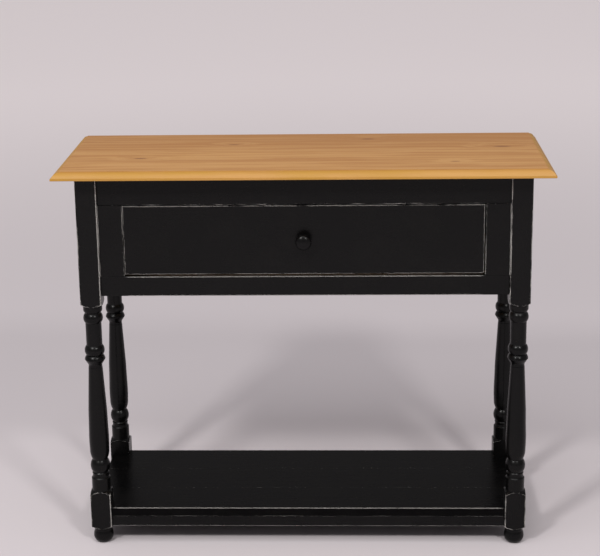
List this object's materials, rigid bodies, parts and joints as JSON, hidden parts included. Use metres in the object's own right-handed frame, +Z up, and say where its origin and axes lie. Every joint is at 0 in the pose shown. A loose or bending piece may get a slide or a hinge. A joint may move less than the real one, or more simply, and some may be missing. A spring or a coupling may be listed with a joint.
{
  "type": "console table",
  "caption": "Console table with a moulded timber top, four turned legs, one flush drawer with a round knob, and a low shelf between the feet.",
  "frame": {"origin": "on the floor, under the middle of the table", "axes": "+X along the table's length to the right of someone facing the drawer, +Y from the drawer side to the back, +Z up; the drawer opens towards -Y"},
  "size_m": [0.98, 0.385, 0.804],
  "materials": {
    "oiled_top": "honey-coloured oiled softwood with straight grain along the length, satin",
    "black_paint": "satin black paint on wood, rubbed through to a pale undercoat along the edges",
    "bare_wood": "bare planed pine",
    "drawer_panel": "thin plywood, bare",
    "steel": "zinc-plated screws and pins"
  },
  "bodies": {
    "frame": {"top_board_1": "oiled_top", "top_board_2": "oiled_top", "top_board_3": "oiled_top", "top_board_4": "oiled_top", "leg_front_left": "black_paint", "leg_front_right": "black_paint", "leg_rear_left": "black_paint", "leg_rear_right": "black_paint", "front_top_rail": "black_paint", "front_bottom_rail": "black_paint", "front_stile_left": "black_paint", "front_stile_right": "black_paint", "side_apron_left": "black_paint", "side_apron_right": "black_paint", "back_apron": "black_paint", "drawer_runner_left": "bare_wood", "drawer_runner_right": "bare_wood", "drawer_kicker_left": "bare_wood", "drawer_kicker_right": "bare_wood", "drawer_guide_left": "bare_wood", "drawer_guide_right": "bare_wood", "drawer_stop_left": "bare_wood", "drawer_stop_right": "bare_wood", "top_batten_left": "bare_wood", "top_batten_right": "bare_wood", "glue_block_front_left": "bare_wood", "glue_block_front_right": "bare_wood", "glue_block_rear_left": "bare_wood", "glue_block_rear_right": "bare_wood", "top_fixing_screws": "steel", "shelf_board_1": "black_paint", "shelf_board_2": "black_paint", "shelf_board_3": "black_paint", "shelf_rail_front": "black_paint", "shelf_rail_back": "black_paint", "shelf_rail_left": "black_paint", "shelf_rail_right": "black_paint", "shelf_fixing_screws": "steel"},
    "drawer": {"drawer_front": "black_paint", "drawer_side_left": "bare_wood", "drawer_side_right": "bare_wood", "drawer_back": "bare_wood", "drawer_bottom": "drawer_panel", "drawer_bottom_pins": "steel", "drawer_knob": "black_paint", "knob_screw": "steel"}
  },
  "joints": [
    {"name": "drawer_slide", "type": "slide", "parent": "frame", "child": "drawer", "axis": [0, -1, 0], "range_m": [0, 0.2]}
  ]
}
